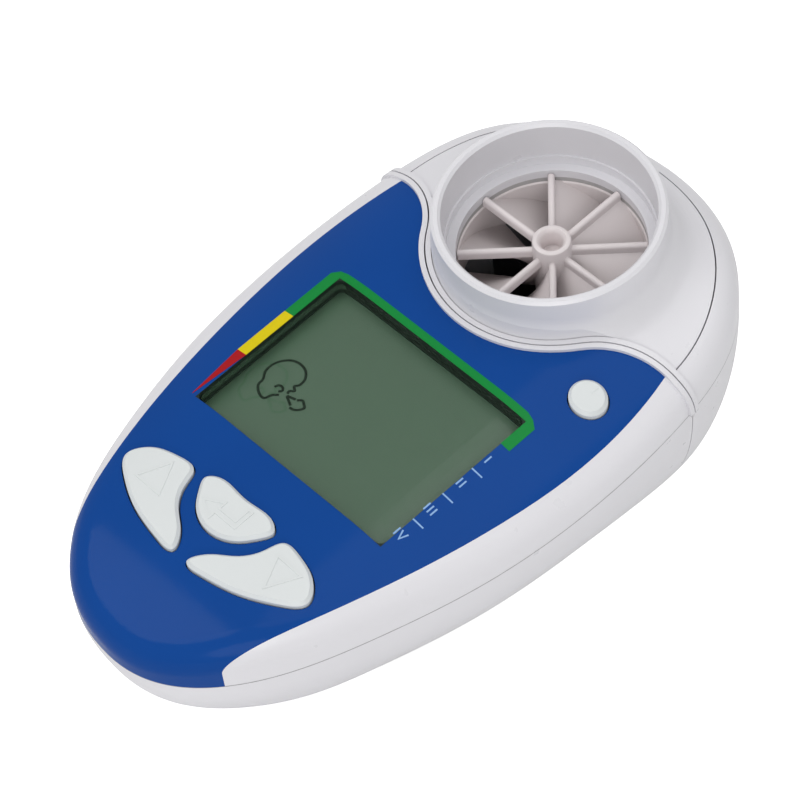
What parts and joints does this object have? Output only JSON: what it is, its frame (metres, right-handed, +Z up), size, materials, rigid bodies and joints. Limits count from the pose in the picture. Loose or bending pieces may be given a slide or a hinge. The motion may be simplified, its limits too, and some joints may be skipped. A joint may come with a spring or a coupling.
{
  "type": "spirometer",
  "caption": "Hand-held turbine spirometer: oval body with a display and keys, and a flowhead with a round mouthpiece socket over swirl vanes and a spinning vane.",
  "frame": {"origin": "centre of the footprint on the flat back, at the level the back rests on", "axes": "+Z up from the flat back, +Y along the body from the nose to the flowhead, +X to the user's right when the display is read from the nose end"},
  "size_m": [0.0624, 0.1092, 0.0456],
  "materials": {
    "casing": "smooth, light grey-white",
    "fascia": "glossy blue",
    "window": "clear",
    "lcd": "grey-green liquid-crystal panel",
    "black_plastic": "matt",
    "rubber_strip": "matt",
    "board": "solder mask",
    "components": "matt",
    "key_rubber": "matt",
    "keys": "satin",
    "steel": "bright",
    "cell": "plain sleeve",
    "contact_metal": "plated",
    "lamp_dark": "dark resin",
    "lamp_clear": "clear resin",
    "gasket": "matt",
    "stator": "smooth",
    "clear_tube": "clear",
    "bearing": "polished",
    "vane": "matt"
  },
  "bodies": {
    "body": {"lower_case": "casing", "upper_case": "casing", "fascia": "fascia", "display_window": "window", "lcd_panel": "lcd", "lcd_holder": "black_plastic", "lcd_connectors": "rubber_strip", "main_board": "board", "board_components": "components", "buzzer": "components", "keypad_mat": "key_rubber", "power_mat": "key_rubber", "case_screws": "steel", "battery_cell_left": "cell", "battery_cell_right": "cell", "battery_contacts": "contact_metal", "ir_detector": "lamp_dark", "ir_emitter": "lamp_clear"},
    "flowhead": {"rear_shell": "casing", "flowhead_cover": "casing", "flow_gasket": "gasket", "inlet_stator": "stator", "flow_tube": "clear_tube", "outlet_stator": "stator", "upper_bearing": "bearing", "lower_bearing": "bearing", "outlet_guard": "casing"},
    "rotor": {"rotor_vane": "vane", "rotor_spindle": "steel"},
    "battery_door": {"battery_door": "casing"},
    "down_key": {"down_key": "keys"},
    "up_key": {"up_key": "keys"},
    "enter_key": {"enter_key": "keys"},
    "power_key": {"power_key": "keys"}
  },
  "joints": [
    {"name": "flowhead_slide", "type": "slide", "parent": "body", "child": "flowhead", "axis": [0, 0.9932, 0.1167], "range_m": [0, 0.04]},
    {"name": "rotor_spin", "type": "hinge", "parent": "flowhead", "child": "rotor", "pos_m": [0, 0.03106, 0.01935], "axis": [0, -0.1167, 0.9932], "continuous": true},
    {"name": "battery_door_slide", "type": "slide", "parent": "body", "child": "battery_door", "axis": [0, -1, 0], "range_m": [0, 0.05]},
    {"name": "down_press", "type": "slide", "parent": "body", "child": "down_key", "axis": [0, 0.1167, -0.9932], "range_m": [0, 0.0008], "stiffness_N_per_m": 1200},
    {"name": "up_press", "type": "slide", "parent": "body", "child": "up_key", "axis": [0, 0.1167, -0.9932], "range_m": [0, 0.0008], "stiffness_N_per_m": 1200},
    {"name": "enter_press", "type": "slide", "parent": "body", "child": "enter_key", "axis": [0, 0.1167, -0.9932], "range_m": [0, 0.0008], "stiffness_N_per_m": 1200},
    {"name": "power_press", "type": "slide", "parent": "body", "child": "power_key", "axis": [0, 0.1167, -0.9932], "range_m": [0, 0.0008], "stiffness_N_per_m": 1200}
  ]
}
